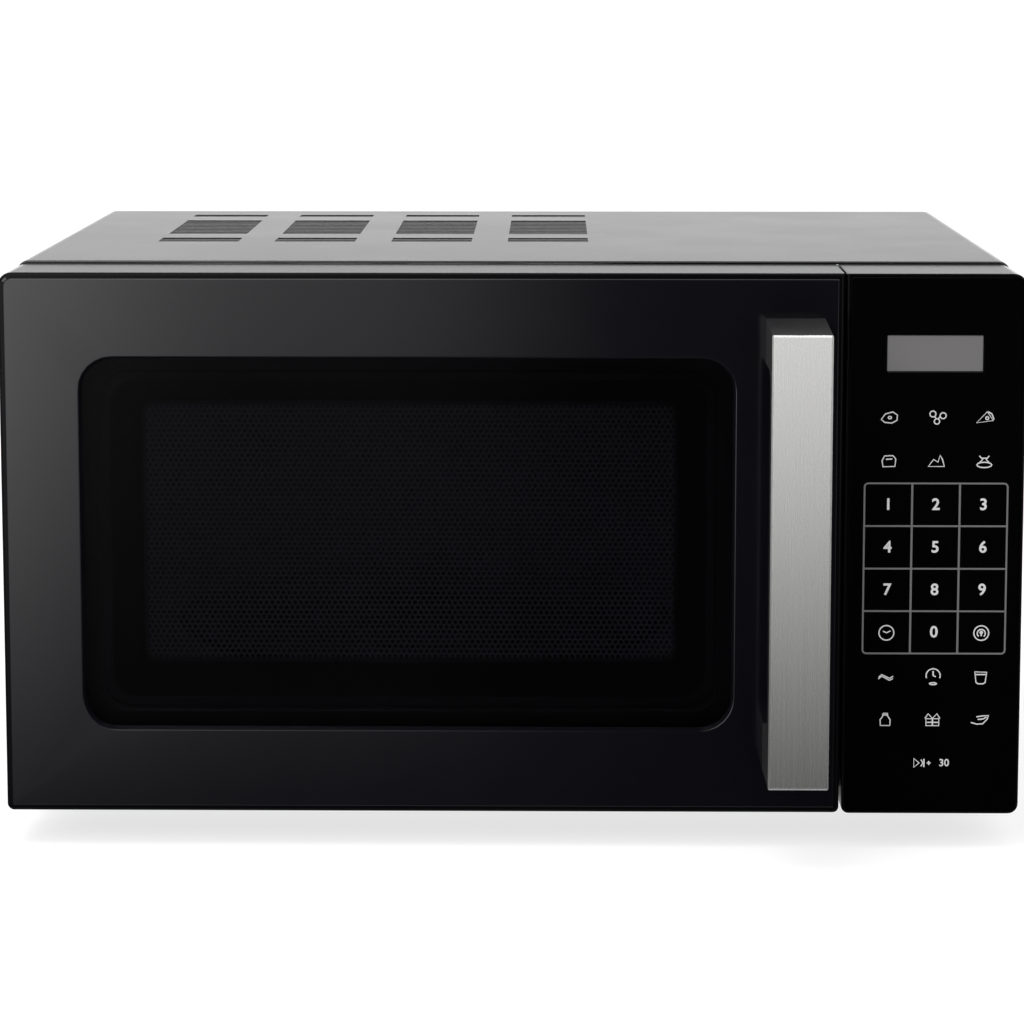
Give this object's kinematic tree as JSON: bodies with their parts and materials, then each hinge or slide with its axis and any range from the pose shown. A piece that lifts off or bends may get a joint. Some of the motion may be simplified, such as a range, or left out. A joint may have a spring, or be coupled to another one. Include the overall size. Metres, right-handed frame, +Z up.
{
  "type": "microwave oven",
  "caption": "Countertop microwave oven with a left-hinged glass door, upright bow handle, touch control panel, turntable and fan-cooled magnetron in a sheet-steel case.",
  "frame": {"origin": "middle of the oven's box in X and Y, on the surface the feet stand on", "axes": "+X to the right seen from the front (hinge side at -X, controls at +X), the door faces -Y, +Z up"},
  "size_m": [0.452, 0.388, 0.259],
  "materials": {
    "black_paint": "satin black powder coat",
    "grey_enamel": "grey enamel",
    "galvanised_steel": "galvanised sheet",
    "gloss_black_plastic": "gloss black",
    "matt_black_plastic": "fine grained black",
    "smoked_glass": "smoked glass",
    "clear_glass": "clear glass",
    "clear_plastic": "clear film",
    "brushed_aluminium": "brushed along its length",
    "display_grey": "grey display window",
    "white_plastic": "natural white plastic",
    "copper_winding": "enamelled copper wire",
    "mica": "mica sheet",
    "circuit_board": "green solder mask",
    "spring_steel": "spring wire",
    "rubber": "black rubber"
  },
  "bodies": {
    "chassis": {"back_plate": "galvanised_steel", "base_plate": "galvanised_steel", "cable_gland": "matt_black_plastic", "capacitor_clamp": "galvanised_steel", "cavity_box": "grey_enamel", "cavity_lamp": "clear_glass", "control_board": "circuit_board", "control_panel_fascia": "gloss_black_plastic", "control_panel_frame": "gloss_black_plastic", "cover_screw_1": "galvanised_steel", "cover_screw_2": "galvanised_steel", "cover_screw_3": "galvanised_steel", "cover_screw_4": "galvanised_steel", "display_module": "matt_black_plastic", "display_window": "display_grey", "door_switch_lower": "matt_black_plastic", "door_switch_upper": "matt_black_plastic", "fan_motor": "galvanised_steel", "fan_shroud": "matt_black_plastic", "foot_front_left": "rubber", "foot_front_right": "rubber", "foot_rear_left": "rubber", "foot_rear_right": "rubber", "front_plate": "grey_enamel", "hv_capacitor": "galvanised_steel", "keypad_membrane": "white_plastic", "lamp_holder": "white_plastic", "latch_board": "white_plastic", "lower_hinge_bracket": "galvanised_steel", "magnetron_antenna": "white_plastic", "magnetron_filter_box": "galvanised_steel", "magnetron_fins": "brushed_aluminium", "magnetron_yoke": "galvanised_steel", "mica_cover": "mica", "power_relay": "white_plastic", "primary_winding": "copper_winding", "secondary_winding": "copper_winding", "transformer_core": "galvanised_steel", "turntable_motor": "galvanised_steel", "upper_hinge_bracket": "galvanised_steel", "waveguide": "galvanised_steel", "wrap_cover": "black_paint"},
    "door": {"door_frame": "gloss_black_plastic", "door_glass": "smoked_glass", "door_screen": "matt_black_plastic", "inner_window": "clear_plastic", "door_choke": "galvanised_steel", "door_cover": "matt_black_plastic", "handle_grip": "matt_black_plastic", "handle_strip": "brushed_aluminium", "latch_spring": "spring_steel"},
    "latch": {"latch_bar": "white_plastic"},
    "drive": {"drive_coupler": "white_plastic"},
    "tray": {"glass_tray": "clear_glass"},
    "ring": {"roller_ring": "white_plastic"},
    "wheel_1": {"roller_1": "matt_black_plastic"},
    "wheel_2": {"roller_2": "matt_black_plastic"},
    "wheel_3": {"roller_3": "matt_black_plastic"},
    "fan": {"fan_blade": "matt_black_plastic"}
  },
  "joints": [
    {"name": "door_hinge", "type": "hinge", "parent": "chassis", "child": "door", "pos_m": [-0.218, -0.118, 0.137], "axis": [0, 0, -1], "range_deg": [0, 110]},
    {"name": "latch_slide", "type": "slide", "parent": "door", "child": "latch", "axis": [0, 0, 1], "range_m": [0, 0.004], "stiffness_N_per_m": 300, "springref_m": -0.005, "deforming": ["latch_spring"]},
    {"name": "turntable_spin", "type": "hinge", "parent": "chassis", "child": "drive", "pos_m": [-0.046, 0.0379, 0.045], "axis": [0, 0, 1], "continuous": true},
    {"name": "tray_lift", "type": "slide", "parent": "drive", "child": "tray", "axis": [0, 0, 1], "range_m": [0, 0.012]},
    {"name": "ring_spin", "type": "hinge", "parent": "chassis", "child": "ring", "pos_m": [-0.046, 0.0379, 0.0478], "axis": [0, 0, 1], "continuous": true},
    {"name": "roller_1_spin", "type": "hinge", "parent": "ring", "child": "wheel_1", "pos_m": [0.0501, 0.0379, 0.0478], "axis": [1, 0, 0], "continuous": true},
    {"name": "roller_2_spin", "type": "hinge", "parent": "ring", "child": "wheel_2", "pos_m": [-0.09405, 0.12112, 0.0478], "axis": [-0.5, 0.866, 0], "continuous": true},
    {"name": "roller_3_spin", "type": "hinge", "parent": "ring", "child": "wheel_3", "pos_m": [-0.09405, -0.04532, 0.0478], "axis": [-0.5, -0.866, 0], "continuous": true},
    {"name": "fan_spin", "type": "hinge", "parent": "chassis", "child": "fan", "pos_m": [0.165, 0.169, 0.2], "axis": [0, 1, 0], "continuous": true}
  ],
  "couplings": [
    {"joint": "ring_spin", "follows": "turntable_spin", "ratio": 0.5},
    {"joint": "roller_1_spin", "follows": "turntable_spin", "ratio": -6.4067},
    {"joint": "roller_2_spin", "follows": "turntable_spin", "ratio": -6.4067},
    {"joint": "roller_3_spin", "follows": "turntable_spin", "ratio": -6.4067}
  ]
}
